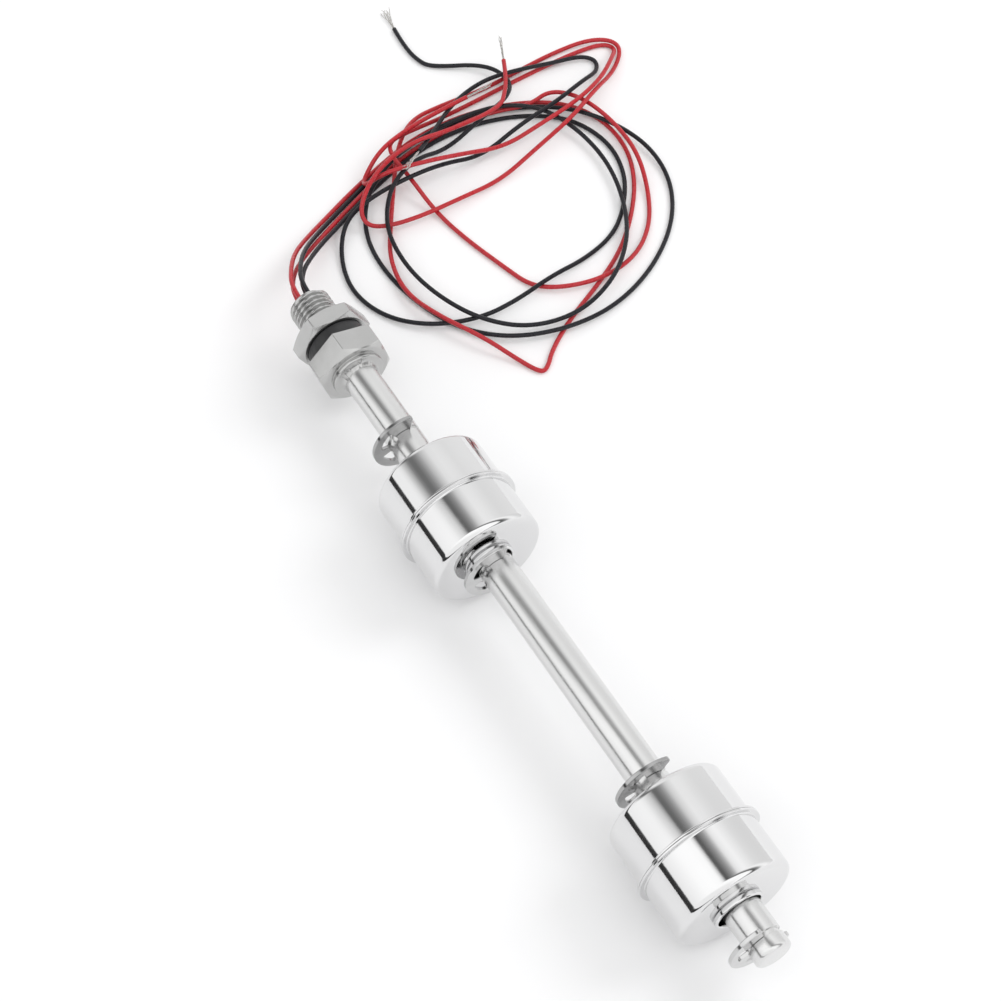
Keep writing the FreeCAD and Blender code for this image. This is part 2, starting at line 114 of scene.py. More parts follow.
CLIP_WINDOW_CORNER = 6      # degrees that a window's rounded corner takes
CLIP_WINDOW_EDGE = 0.6      # and how far it reaches down the window's side
CLIP_ANGLES = {"upper_float_top_clip": 186.0, "upper_float_bottom_clip": 184.0,
               "lower_float_top_clip": 168.0, "lower_float_bottom_clip": 216.0}
FLOAT_D = 25.8
FLOAT_HEIGHT = 25.4
FLANGE_D = 28.0
FLANGE_SHEET = 0.5
FLOAT_CORNER = 1.4
FLOAT_BORE_D = 9.6
SLEEVE_WALL = 0.4
LIP_STAND = 1.3
LIP_ROLL = 0.35
WIRE_D = 1.1
STRAND_D = 0.17


# ---------------------------------------------------------------- material helpers
class Shader:
    """A Principled material and a few short ways to add nodes to it."""

    def __init__(self, name, color, metallic, roughness):
        self.material = bpy.data.materials.new(name)
        self.material.use_nodes = True
        self.tree = self.material.node_tree
        self.bsdf = self.tree.nodes["Principled BSDF"]
        self.set("Base Color", (*color, 1))
        self.set("Metallic", metallic)
        self.set("Roughness", roughness)
        self.coords = self.tree.nodes.new("ShaderNodeTexCoord").outputs["Object"]

    def set(self, socket, value):
        self.bsdf.inputs[socket].default_value = value

    def link(self, output, socket):
        self.tree.links.new(output, self.bsdf.inputs[socket])

    def noise(self, scale, detail=3.0, stretch=(1, 1, 1)):
        """Noise from 0 to 1 over the piece's own coordinates."""
        mapping = self.tree.nodes.new("ShaderNodeMapping")
        mapping.inputs["Scale"].default_value = stretch
        self.tree.links.new(self.coords, mapping.inputs["Vector"])
        node = self.tree.nodes.new("ShaderNodeTexNoise")
        node.inputs["Scale"].default_value = scale
        node.inputs["Detail"].default_value = detail
        self.tree.links.new(mapping.outputs["Vector"], node.inputs["Vector"])
        return node.outputs["Fac"]

    def span(self, value, from_low, from_high, to_low, to_high):
        """The value carried from one range to another."""
        node = self.tree.nodes.new("ShaderNodeMapRange")
        node.inputs["From Min"].default_value = from_low
        node.inputs["From Max"].default_value = from_high
        node.inputs["To Min"].default_value = to_low
        node.inputs["To Max"].default_value = to_high
        self.tree.links.new(value, node.inputs["Value"])
        return node.outputs["Result"]

    def shade(self, value, dark, light):
        """Base colour running between two colours with a value from 0 to 1."""
        node = self.tree.nodes.new("ShaderNodeMix")
        node.data_type = "RGBA"
        self.tree.links.new(value, node.inputs["Factor"])
        node.inputs["A"].default_value = (*dark, 1)
        node.inputs["B"].default_value = (*light, 1)
        self.link(node.outputs["Result"], "Base Color")

    def bump(self, height, distance, strength=1.0, below=None):
        """Relief of a depth in metres, on top of the relief below it."""
        node = self.tree.nodes.new("ShaderNodeBump")
        node.inputs["Distance"].default_value = distance
        node.inputs["Strength"].default_value = strength
        self.tree.links.new(height, node.inputs["Height"])
        if below is not None:
            self.tree.links.new(below, node.inputs["Normal"])
        self.link(node.outputs["Normal"], "Normal")
        return node.outputs["Normal"]


def polished_steel():
    """Mirror-polished pressed sheet: faint waves of the pressing and a haze of fine marks."""
    s = Shader("polished_steel", (0.74, 0.74, 0.745), 1.0, 0.05)
    s.link(s.span(s.noise(420, 5), 0.35, 0.75, 0.035, 0.10), "Roughness")
    waves = s.bump(s.noise(90, 1, (0.6, 1, 1)), 0.00003, 0.5)
    s.bump(s.noise(5200, 2), 0.000004, 0.5, waves)
    s.shade(s.noise(60, 2), (0.71, 0.71, 0.715), (0.77, 0.77, 0.77))
    return s.material


def drawn_steel():
    """Drawn tube, semi-bright: streaks along the tube and a few rubbed rings."""
    s = Shader("drawn_steel", (0.72, 0.72, 0.72), 1.0, 0.18)
    s.link(s.span(s.noise(900, 4, (0.05, 1, 1)), 0.3, 0.7, 0.19, 0.27), "Roughness")
    grain = s.bump(s.noise(2600, 3, (0.04, 1, 1)), 0.000012, 0.5)
    s.bump(s.noise(2400, 3, (1, 0.3, 0.3)), 0.000008, 0.4, grain)
    s.shade(s.noise(240, 3, (0.15, 1, 1)), (0.68, 0.68, 0.68), (0.76, 0.76, 0.755))
    return s.material


def turned_steel():
    """Machined bar, satin: fine tool marks round the axis and a faint unevenness."""
    s = Shader("turned_steel", (0.52, 0.52, 0.515), 1.0, 0.21)
    s.link(s.span(s.noise(500, 3), 0.3, 0.7, 0.17, 0.25), "Roughness")
    s.bump(s.noise(2600, 2, (1, 0.2, 0.2)), 0.000006, 0.4)
    s.shade(s.noise(160, 3), (0.47, 0.47, 0.465), (0.56, 0.56, 0.555))
    return s.material


def stamped_steel(name, grey):
    """Stamped and tumbled spring steel of the clips."""
    s = Shader(name, (grey, grey, grey), 1.0, 0.12)
    s.link(s.span(s.noise(1100, 3), 0.3, 0.7, 0.09, 0.16), "Roughness")
    s.bump(s.noise(900, 2), 0.00001, 0.4)
    s.shade(s.noise(500, 2), (0.92 * grey,) * 3, (1.08 * grey,) * 3)
    return s.material


def tinned_copper():
    """Tinned strands, a little uneven in tone."""
    s = Shader("tinned_copper", (0.62, 0.60, 0.57), 1.0, 0.25)
    s.link(s.span(s.noise(4000, 2), 0.3, 0.7, 0.18, 0.36), "Roughness")
    s.shade(s.noise(900, 3), (0.50, 0.48, 0.45), (0.74, 0.73, 0.71))
    return s.material


def pvc(name, dark, light, shine):
    """Glossy PVC insulation with a faint extruded unevenness."""
    s = Shader(name, light, 0.0, 0.28)
    s.set("Specular IOR Level", shine)
    s.link(s.span(s.noise(600, 3), 0.3, 0.7, 0.22, 0.38), "Roughness")
    s.bump(s.noise(1400, 2), 0.00003, 0.35)
    s.shade(s.noise(120, 3), dark, light)
    return s.material


def black_rubber():
    """Moulded rubber of the gasket."""
    s = Shader("black_rubber", (0.02, 0.02, 0.021), 0.0, 0.42)
    s.link(s.span(s.noise(900, 3), 0.3, 0.7, 0.34, 0.52), "Roughness")
    s.bump(s.noise(2200, 3), 0.00003, 0.5)
    s.shade(s.noise(300, 3), (0.014, 0.014, 0.015), (0.030, 0.030, 0.031))
    return s.material


def cast_resin():
    """Potting resin, set with a slightly wavy face."""
    s = Shader("cast_resin", (0.03, 0.03, 0.03), 0.0, 0.25)
    s.link(s.span(s.noise(500, 3), 0.3, 0.7, 0.18, 0.40), "Roughness")
    s.bump(s.noise(420, 2), 0.0001, 0.5)
    s.shade(s.noise(200, 3), (0.02, 0.02, 0.02), (0.05, 0.05, 0.05))
    return s.material


def shrink_tube():
    """Matt heat-shrink tube."""
    s = Shader("shrink_tube", (0.03, 0.03, 0.03), 0.0, 0.5)
    s.link(s.span(s.noise(700, 3), 0.3, 0.7, 0.42, 0.58), "Roughness")
    s.bump(s.noise(900, 2), 0.00004, 0.5)
    s.shade(s.noise(250, 3), (0.02, 0.02, 0.02), (0.045, 0.045, 0.045))
    return s.material


def sintered_ferrite():
    """Dull grey ferrite."""
    s = Shader("sintered_ferrite", (0.10, 0.10, 0.10), 0.2, 0.7)
    s.link(s.span(s.noise(1500, 4), 0.3, 0.7, 0.6, 0.8), "Roughness")
    s.bump(s.noise(2500, 4), 0.00003, 0.6)
    s.shade(s.noise(900, 3), (0.07, 0.07, 0.07), (0.13, 0.13, 0.13))
    return s.material


def drawn_glass():
    """Clear greenish glass of the reed tubes."""
    s = Shader("drawn_glass", (0.86, 0.93, 0.89), 0.0, 0.03)
    s.set("Transmission Weight", 0.9)
    s.set("IOR", 1.5)
    s.link(s.span(s.noise(300, 2), 0.3, 0.7, 0.02, 0.06), "Roughness")
    return s.material


MATERIALS = {
    "fitting_steel": turned_steel(),
    "stem_steel": drawn_steel(),
    "clip_steel": stamped_steel("stamped_steel", 0.60),
    "float_steel": polished_steel(),
    "gasket_rubber": black_rubber(),
    "magnet_ferrite": sintered_ferrite(),
    "potting": cast_resin(),
    "reed_glass": drawn_glass(),
    "reed_alloy": tinned_copper(),
    "shrink_sleeve": shrink_tube(),
    "red_insulation": pvc("red_pvc", (0.40, 0.010, 0.018), (0.53, 0.018, 0.028), 0.5),
    "black_insulation": pvc("black_pvc", (0.008, 0.008, 0.011), (0.015, 0.015, 0.020), 0.3),
    "tinned_copper": tinned_copper(),
}
# A darker copy of the clip steel for the two upper clips: painted shade, standing in for the shadow between
# each clip and the float's end face.
SHADED_CLIP_STEEL = stamped_steel("shaded_stamped_steel", 0.42)      # the two upper clips
MATERIALS["nut_steel"] = MATERIALS["fitting_steel"]

for part in frame["record"]["subparts"]:
    node = frame["nodes"][part["node"]]
    node.data.materials.clear()
    node.data.materials.append(MATERIALS[part["material_slot"]])


# ---------------------------------------------------------------- shape helpers
def rounded(points, steps=5):
    """Corner points as (x, r, rounding); the rounded corners become short arcs."""
    outline = []
    count = len(points)
    for i, (x, r, radius) in enumerate(points):
        here = Vector((x, r))
        if radius <= 0:
            outline.append(here)
            continue
        back = Vector(points[i - 1][:2]) - here
        ahead = Vector(points[(i + 1) % count][:2]) - here
        half = back.angle(ahead) / 2
        setback = min(radius / math.tan(half), 0.48 * back.length, 0.48 * ahead.length)
        arc_radius = setback * math.tan(half)
        centre = here + (back.normalized() + ahead.normalized()).normalized() * arc_radius / math.sin(half)
        first = here + back.normalized() * setback - centre
        last = here + ahead.normalized() * setback - centre
        turn = first.angle_signed(last)
        for k in range(steps + 1):
            a = -turn * k / steps
            outline.append(centre + Vector((first.x * math.cos(a) - first.y * math.sin(a),
                                            first.x * math.sin(a) + first.y * math.cos(a))))
    return outline


def even_angles(count):
    """Evenly spaced angles all the way round."""
    return [2 * math.pi * k / count for k in range(count)]


def turned(name, outline_at, angles, axis, slot, body, nodes, sharp=32.0):
    """A closed outline carried round the axis; outline_at(angle) gives its (x, r) points."""
    vertices = []
    for a in angles:
        for x, r in outline_at(a):
            vertices.append((x * MM, (axis[0] + r * math.cos(a)) * MM, (axis[1] + r * math.sin(a)) * MM))
    size = len(vertices) // len(angles)
    faces = []
    for i in range(len(angles)):
        j = (i + 1) % len(angles)
        for k in range(size):
            n = (k + 1) % size
            faces.append((i * size + k, i * size + n, j * size + n, j * size + k))
    return finished(name, vertices, faces, slot, body, nodes, sharp)


def finished(name, vertices, faces, slot, body, nodes, sharp=32.0):
    """A mesh piece with the material of its slot, its body and the CAD nodes that it replaces."""
    mesh = bpy.data.meshes.new(name)
    mesh.from_pydata(vertices, [], faces)
    mesh.validate()
    for polygon in mesh.polygons:
        polygon.use_smooth = True
    mesh.set_sharp_from_angle(angle=math.radians(sharp))
    piece = bpy.data.objects.new(name, mesh)
    bpy.context.scene.collection.objects.link(piece)
    mesh.materials.append(MATERIALS[slot])
    outward(mesh)
    return dressed(piece, body, nodes)


def outward(mesh):
    """Turns all faces of a closed mesh outwards."""
    shape = bmesh.new()
    shape.from_mesh(mesh)
    bmesh.ops.recalc_face_normals(shape, faces=shape.faces)
    shape.to_mesh(mesh)
    shape.free()


def dressed(piece, body, nodes):
    """Gives a piece its body and hides the CAD nodes that it replaces."""
    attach(piece, body)
    if nodes:
        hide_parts(*nodes)
    return piece


def lathe(name, points, axis, slot, body, nodes, count=160, steps=5):
    """A round piece from (x, r, rounding) corner points."""
    outline = rounded(points, steps)
    return turned(name, lambda angle: outline, even_angles(count), axis, slot, body, nodes)


# ---------------------------------------------------------------- fitting, nut, gasket
def hex_radius(angle, across_flats, turn, rounding):
    """Radius of a hexagon with rounded corners; a corner lies at turn degrees from +Y."""
    flat = across_flats / 2
    from_corner = abs((angle - math.radians(turn) + math.pi / 6) % (math.pi / 3) - math.pi / 6)
    tangent = math.pi / 6 - math.atan((flat - rounding) * math.tan(math.pi / 6) / flat)
    if from_corner > tangent:
        return flat / math.cos(math.pi / 6 - from_corner)
    centre = (flat - rounding) / math.cos(math.pi / 6)
    return centre * math.cos(from_corner) + math.sqrt(rounding ** 2 - (centre * math.sin(from_corner)) ** 2)


def hex_angles(turn, per_flat=20, per_corner=6):
    """Angles for a hexagonal piece, closer together at its corners."""
    angles = []
    for k in range(6):
        corner = math.radians(turn + 60 * k)
        near = math.radians(1.6)
        angles += [corner + near * (2 * i / per_corner - 1) for i in range(per_corner)]
        span = math.pi / 3 - 2 * near
        angles += [corner + near + span * i / per_flat for i in range(per_flat)]
    return angles


def hex_end(face_x, inward, radius, flats, chamfer):
    """Corner points of one chamfered end of a hexagon at one angle, from the side to the face."""
    rim = flats / 2 - 0.25
    corner = flats / math.sqrt(3)
    slope = chamfer / (corner - rim)
    depth = max(radius - rim, 0.02) * slope
    return [(face_x + inward * depth, radius, EDGE / 2), (face_x, rim, EDGE / 2)]


def thread_radius(x, angle):
    """Radius of the stud's thread: rounded crests and roots, with a chamfered first turn."""
    phase = ((x - THREAD_END_X) / THREAD_PITCH - angle / (2 * math.pi)) % 1.0
    flank = min(max((abs(2 * phase - 1) - 0.16) / 0.62, 0.0), 1.0)
    wave = 0.5 - 0.5 * math.cos(math.pi * flank)
    radius = STUD_D / 2 - THREAD_DEPTH * wave
    return min(radius, STUD_D / 2 - STUD_CHAMFER + (x - THREAD_END_X))


def fitting_outline(angle):
    """Outline of the whole fitting at one angle: thread, hexagon, collar, weld and bore."""
    step = THREAD_PITCH / 14
    count = int((SEAL_X - 0.3 - THREAD_END_X) / step)
    thread = [Vector((THREAD_END_X + k * step, thread_radius(THREAD_END_X + k * step, angle)))
              for k in range(count)]
    side = hex_radius(angle, HEX_FLATS, HEX_TURN, 0.3)
    face = SEAL_X + HEX_HEIGHT
    collar = face + COLLAR_HEIGHT
    bead = WELD_LEG * (1 + 0.07 * math.sin(19 * angle) + 0.05 * math.sin(31 * angle + 1))
    chamfer, rim = hex_end(face, -1, side, HEX_FLATS, HEX_CHAMFER)
    weld = [(collar + bead * (1 - math.sin(a)), STEM_D / 2 + bead * (1 - math.cos(a)), 0)
            for a in (math.pi / 2, math.pi / 3, math.pi / 4, math.pi / 6, math.pi / 14)]
    head = [(SEAL_X - 0.3, STUD_D / 2, 0), (SEAL_X, STUD_D / 2, 0), (SEAL_X, side, EDGE), chamfer, rim,
            (face, COLLAR_D / 2, 0.1), (collar, COLLAR_D / 2, COLLAR_ROUND)] + weld
    bore = [(WELD_END_X, STEM_D / 2 - 0.4, 0), (face, STEM_D / 2 - 0.4, 0), (face - 4, STUD_BORE_D / 2, 0),
            (THREAD_END_X, STUD_BORE_D / 2, 0.25)]
    return thread + rounded(head + bore, 5)


def threaded_fitting():
    """The fitting as one piece, in place of the plain solid."""
    turned("hex_fitting", fitting_outline, hex_angles(HEX_TURN), STEM_AXIS,
           "fitting_steel", "stem", ["threaded_hex_fitting"])


def nut_outline(angle):
    """Outline of the nut at one angle, chamfered at both faces."""
    side = hex_radius(angle, HEX_FLATS, NUT_TURN, 0.3)
    far_chamfer, far_rim = hex_end(NUT_END_X, 1, side, HEX_FLATS, NUT_CHAMFER)
    near_chamfer, near_rim = hex_end(NUT_X, -1, side, HEX_FLATS, NUT_CHAMFER)
    bore = STUD_D / 2 + 0.02
    return rounded([(NUT_END_X + 0.5, bore, 0), (NUT_END_X, bore + 0.45, 0.1), far_rim, far_chamfer,
                    near_chamfer, near_rim, (NUT_X, bore, 0)])


def nut_and_gasket():
    """The lock nut and the rubber ring that it presses on."""
    turned("hex_nut", nut_outline, hex_angles(NUT_TURN), STEM_AXIS, "nut_steel", "stem", ["lock_nut"])
    outer = GASKET_D / 2
    inner = STUD_D / 2 + 0.04
    lathe("rubber_gasket", [(NUT_X, inner, 0), (NUT_X, outer, GASKET_ROUND), (SEAL_X, outer, GASKET_ROUND),
                            (SEAL_X, inner, 0)], STEM_AXIS, "gasket_rubber", "stem", ["sealing_gasket"])


# ---------------------------------------------------------------- stem and clips
def stem():
    """The closed tube, with a groove under each clip."""
    r = STEM_D / 2
    points = [(SEAL_X + HEX_HEIGHT - 2, r - 1, 0), (SEAL_X + HEX_HEIGHT - 2, r, 0)]
    for node in ("upper_float_top_clip", "upper_float_bottom_clip", "lower_float_top_clip",
                 "lower_float_bottom_clip"):
        x = middle(node).x
        half = GROOVE_WIDTH / 2
        points += [(x - half, r, 0.06), (x - half, GROOVE_D / 2, 0.05), (x + half, GROOVE_D / 2, 0.05),
                   (x + half, r, 0.06)]
    points += [(TIP_X, r, STEM_TIP_ROUND), (TIP_X, 0.01, 0), (TIP_X - 3, 0.01, 0), (TIP_X - 3, r - 1, 0)]
    lathe("closed_stem", points, STEM_AXIS, "stem_steel", "stem", ["stem_tube", "stem_tip_plug"],
          count=128, steps=7)


def clip_outline():
    """The clip seen along the stem, as (y, z) points: a back, three prongs and two windows."""
    seat = CLIP_SEAT_D / 2
    window = CLIP_WINDOW_D / 2
    outer = CLIP_D / 2

    def at(radius, degrees, middle=0.0):
        angle = math.radians(degrees)
        return Vector((middle + radius * math.cos(angle), radius * math.sin(angle)))

    def arc(radius, start, end, middle=0.0, step=3.0):
        count = max(2, round(abs(end - start) / step))
        return [at(radius, start + (end - start) * k / count, middle) for k in range(count + 1)]

    def bend(start, corner, end):
        """A rounded corner between two points."""
        return [start.lerp(corner, t).lerp(corner.lerp(end, t), t) for t in (0.2, 0.4, 0.6, 0.8)]

    def window_corner(edge, inside):
        """From a window's side edge round to its outer arc."""
        start = at(window - CLIP_WINDOW_EDGE, edge)
        end = at(window, inside)
        return [start] + bend(start, at(window, edge), end) + [end]

    half = arc(outer, 0, CLIP_ARM_END - CLIP_CORNER, CLIP_OFFSET)
    tip = at(outer, CLIP_ARM_END, CLIP_OFFSET)
    below = tip.lerp(at(seat, CLIP_ARM_END), CLIP_TIP_SHARE)
    half += bend(half[-1], tip, below) + [below]
    half += arc(seat, CLIP_ARM_END, CLIP_WINDOW_END, step=6)
    far = CLIP_WINDOW_END - CLIP_WINDOW_CORNER
    near = CLIP_WINDOW_START + CLIP_WINDOW_CORNER
    half += window_corner(CLIP_WINDOW_END, far)
    half += arc(window, far, near)[1:-1]
    half += reversed(window_corner(CLIP_WINDOW_START, near))
    half += arc(seat, CLIP_WINDOW_START, 0, step=6)
    return half + [Vector((p.x, -p.y)) for p in reversed(half[1:-1])]


def retaining_clip(node):
    """A stamped clip with softly broken edges, turned to its place in the groove."""
    x0, x1 = low(node).x, high(node).x
    turn = Matrix.Rotation(math.radians(CLIP_ANGLES[node]), 2)
    outline = [turn @ p for p in clip_outline()]
    vertices = [(x * MM, (STEM_AXIS[0] + p.x) * MM, (STEM_AXIS[1] + p.y) * MM)
                for x in (x0, x1) for p in outline]
    count = len(outline)
    faces = [tuple(range(count)), tuple(reversed(range(count, 2 * count)))]
    faces += [(k, k + count, (k + 1) % count + count, (k + 1) % count) for k in range(count)]
    piece = finished(node.replace("_float", "") + "_stamping", vertices, faces, "clip_steel", "stem", [node])
    # The upper clips take the darker copy of the steel, a painted shade.
    if "top" in node:
        piece.data.materials[0] = SHADED_CLIP_STEEL
    bevel = piece.modifiers.new("edges", "BEVEL")
    bevel.width = 0.13 * MM
    bevel.segments = 3
    bevel.angle_limit = math.radians(40)
    return piece


# ---------------------------------------------------------------- floats
def float_shell(node, body, flange_x, side):
    """One pressed half: flat end, rounded corner, wall and its half of the welded flange."""
    top = flange_x + side * FLOAT_HEIGHT / 2
    outer = FLOAT_D / 2
    hole = FLOAT_BORE_D / 2 + SLEEVE_WALL + 0.03
    sheet = FLANGE_SHEET
    points = [(top, hole, 0), (top, outer, FLOAT_CORNER), (flange_x + side * sheet, outer, 0.3),
              (flange_x + side * sheet, FLANGE_D / 2, 0.16), (flange_x + side * 0.02, FLANGE_D / 2, 0.12),
              (flange_x + side * 0.02, outer - sheet, 0), (top - side * sheet, outer - sheet, 0.9),
              (top - side * sheet, hole, 0)]
    lathe(node + "_pressing", points, FLOAT_AXIS, "float_steel", body, [node], count=240, steps=9)


def float_sleeve(node, body, flange_x):
    """The sleeve in the float's bore, rolled outwards to a lip at each end."""
    inner = FLOAT_BORE_D / 2
    outer = inner + SLEEVE_WALL
    face = FLOAT_HEIGHT / 2
    end = face + LIP_STAND
    roll = outer + LIP_ROLL
    half = [(face, outer, 0.08), (face + 0.25, roll, 0.3), (end - 0.1, roll, 0.5), (end, inner + 0.15, 0.3),
            (end - 0.5, inner, 0.3)]
    points = [(flange_x + x, r, q) for x, r, q in half]
    points += [(flange_x - x, r, q) for x, r, q in reversed(half)]
    lathe(node + "_tube", points, FLOAT_AXIS, "float_steel", body, [node], count=128, steps=6)


def floats():
    """Two floats, each of two half shells and a sleeve."""
    for body in ("upper_float", "lower_float"):
        flange_x = high(body + "_top_shell").x
        float_shell(body + "_top_shell", body, flange_x, -1)
        float_shell(body + "_bottom_shell", body, flange_x, 1)
        float_sleeve(body + "_sleeve", body, flange_x)


# ---------------------------------------------------------------- wires
# Route points from the potting's face to the end of the insulation, the same as in the solids.
# Their heights come from a search that lifted each wire until none ran through another.
WIRE_ROUTES = {
    "red_1": [
        (-97.4, -0.7, 14.7), (-104.4, 2.6, 12.4), (-111.1, 7, 8.6), (-117.1, 13.3, 4.3), (-122.3, 21, 1.5),
        (-126.7, 29.5, 0.6), (-130.8, 40, 0.6), (-134.3, 51, 0.6), (-135.3, 62, 0.6), (-134.1, 73, 0.6),
        (-130.6, 83.5, 0.6), (-124.5, 92, 0.6), (-115, 96.5, 0.6), (-104, 96.3, 0.6), (-94, 92, 0.6),
        (-85, 85, 0.6), (-77, 76.5, 0.6), (-71, 66, 0.6), (-66, 55.5, 0.6), (-60.5, 47, 0.6),
        (-56.2, 42.9, 0.6), (-56.2, 41, 0.6), (-61, 38.8, 0.6), (-70, 34, 3.2), (-80.5, 28.5, 3.2),
        (-92, 25.5, 1.8), (-103, 27.6, 1.8), (-113, 33.6, 0.6), (-123, 40.3, 2.2), (-133, 47, 2.2),
        (-139.5, 54.5, 1.8), (-140.8, 64, 0.6), (-140, 75.5, 0.6), (-141, 87, 0.6), (-141.8, 98, 0.6),
        (-140.6, 107.5, 1.4), (-137.3, 113, 1.5), (-132.8, 113.2, 1.5), (-128, 107.5, 0.6),
        (-122.5, 98.5, 4.2), (-117.3, 88, 4.2), (-113.8, 76, 3.5), (-111.5, 64, 0.6), (-110.3, 52, 2.2),
        (-110.2, 41, 2.3), (-111.6, 32.5, 2.1), (-114.2, 28, 2.2), (-117.6, 27.8, 4.4),
        (-121.5, 32.5, 7.6), (-125.8, 40, 7.6), (-127.6, 49, 8.1), (-126.2, 58, 8.1), (-128.3, 73.9, 5.5),
        (-132.3, 77.8, 5.5), (-137.2, 81.1, 5.2), (-142, 83.3, 5.5),
    ],
    "black_1": [
        (-97.4, 1.8, 14.7), (-104.1, 4.9, 12.4), (-110.4, 9.1, 8.7), (-116.1, 14.6, 4.4),
        (-121.2, 21.7, 1.5), (-125.6, 30.2, 0.6), (-129.6, 40, 0.6), (-133, 51, 1.3), (-134, 62, 0.6),
        (-132.8, 73, 0.6), (-129, 83, 0.6), (-122, 91, 1.8), (-112.5, 97.5, 1.8), (-101, 101, 1.5),
        (-89, 99.5, 0.6), (-77.5, 92, 0.6), (-68.5, 80, 0.6), (-63.3, 66.5, 1), (-62.8, 53, 1.9),
        (-67, 40.5, 1.9), (-76, 32, 0.6), (-88, 27, 0.6), (-101, 25, 0.6), (-113, 26.5, 0.6),
        (-122.5, 32, 1.8), (-128.5, 41.5, 3.5), (-131.8, 53, 3.5), (-132.8, 65, 3.1), (-131, 76.5, 3.2),
        (-124.5, 84.5, 3.2), (-114, 88.8, 1.8), (-101.5, 89, 1.8), (-89, 85.5, 1.8), (-77.5, 79, 3),
        (-69, 69.5, 3), (-65.3, 57.5, 1.8), (-67.5, 45, 2.1), (-75, 36, 3.2), (-86.5, 31, 3.2),
        (-99, 29.5, 2.4), (-111, 31, 3.4), (-119.5, 37.5, 6.3), (-124, 47, 6.3), (-127, 57.5, 0.6),
        (-128.6, 68.5, 4.4), (-131.5, 78.5, 4.4), (-138.5, 83.2, 1.8), (-146.5, 80.5, 1.8),
        (-153.6, 69, 0.6), (-157.4, 67, 0.6), (-164.3, 66.6, 0.6), (-170.6, 67.5, 0.6),
    ],
    "red_2": [
        (-97.4, -0.7, 12.4), (-103.9, 2.9, 10.4), (-109.6, 7.9, 6.7), (-115.1, 14.4, 3.4),
        (-120, 22.3, 1.3), (-124.4, 30.8, 0.6), (-128.3, 40.2, 0.6), (-131.6, 51.1, 0.6),
        (-132.7, 61.7, 0.6), (-131.4, 72.6, 1.9), (-128.1, 82.4, 2), (-130, 89.6, 2), (-123.5, 94.5, 3),
        (-112.5, 97, 3), (-100, 96.6, 2.9), (-88.5, 92.5, 0.6), (-79.5, 86.5, 0.6), (-73, 78, 1.7),
        (-71.4, 68, 1.8), (-73.8, 58.5, 1.8), (-79, 52.6, 0.6), (-88, 50, 0.6), (-99, 47, 0.6),
        (-110.5, 45, 0.6), (-121.5, 43.6, 4.6), (-129.5, 43.2, 4.6), (-133.7, 45.2, 4.6), (-135, 52, 3.3),
        (-136.2, 62, 1.6), (-137.6, 73, 0.6), (-138.4, 84, 0.6), (-138.9, 95, 0.6), (-138.9, 105, 0.6),
        (-137.8, 111, 0.6), (-134.9, 112.6, 0.6), (-130.5, 108.8, 3.4), (-124.6, 101.5, 4.6),
        (-121.2, 92, 4.6), (-119.8, 81, 3.9), (-119, 69.5, 2.4), (-119.4, 58, 6.1), (-121.2, 47, 7.5),
        (-122.8, 37.5, 7.5), (-124.8, 33.4, 3.5), (-128, 34.4, 1.8), (-131.2, 41, 5.8), (-133.8, 50, 5.8),
        (-135.4, 59.5, 5.3), (-136, 68.8, 5.3),
    ],
    "black_2": [
        (-97.4, 1.8, 12.4), (-103.6, 5.2, 10.4), (-108.9, 9.9, 7), (-114.1, 15.7, 3.7), (-118.9, 23, 1.3),
        (-123.3, 31.5, 0.6), (-127, 40.4, 0.6), (-130.3, 51.2, 0.6), (-131.4, 61.5, 0.6),
        (-130.1, 72.2, 0.6), (-126.2, 82, 0.6), (-119.5, 90, 0.6), (-108.5, 93.5, 0.6), (-98, 91.5, 0.6),
        (-89.5, 86, 0.6), (-82.5, 78.5, 0.6), (-79.5, 68.5, 0.6), (-78, 57.5, 2.3), (-76, 47, 2.3),
        (-76, 37, 1.9), (-80, 26, 1.9), (-88.5, 18.5, 0.6), (-99, 15.3, 0.6), (-109.5, 17.8, 0.6),
        (-117.2, 23, 2.6), (-120.6, 30, 3), (-120.3, 40, 5.3), (-120, 52, 5.3), (-120.6, 64, 0.6),
        (-122, 76, 4.2), (-124, 88, 4.2), (-127, 98, 3.9), (-130.4, 104.2, 0.6), (-134, 106.2, 0.6),
        (-136.6, 103, 1.4), (-138, 95, 1.8), (-139.3, 85.5, 3.2), (-140.6, 77, 3.2), (-139.4, 69, 2.6),
        (-134.5, 61.5, 4.5), (-128.3, 54, 6.4), (-124.5, 48.5, 7.7),
    ],
}
WIRE_PITCH = (1.25, 1.15)
WIRE_STARTS = {
    "red_1": (THREAD_END_X, STEM_AXIS[0] - WIRE_PITCH[0], STEM_AXIS[1] + WIRE_PITCH[1]),
    "black_1": (THREAD_END_X, STEM_AXIS[0] + WIRE_PITCH[0], STEM_AXIS[1] + WIRE_PITCH[1]),
    "red_2": (THREAD_END_X, STEM_AXIS[0] - WIRE_PITCH[0], STEM_AXIS[1] - WIRE_PITCH[1]),
    "black_2": (THREAD_END_X, STEM_AXIS[0] + WIRE_PITCH[0], STEM_AXIS[1] - WIRE_PITCH[1]),
}


def nurbs(name, points, diameter, slot):
    """A smooth round line through the air, led by its control points."""
    curve = bpy.data.curves.new(name, "CURVE")
    curve.dimensions = "3D"
    curve.resolution_u = 10
    curve.bevel_depth = diameter / 2 * MM
    curve.bevel_resolution = 5
    curve.use_fill_caps = True
    spline = curve.splines.new("NURBS")
    spline.points.add(len(points) - 1)
    for point, (x, y, z) in zip(spline.points, points):
        point.co = (x * MM, y * MM, z * MM, 1)
    spline.order_u = 3
    spline.use_endpoint_u = True
    piece = bpy.data.objects.new(name, curve)
    bpy.context.scene.collection.objects.link(piece)
    curve.materials.append(MATERIALS[slot])
    return piece


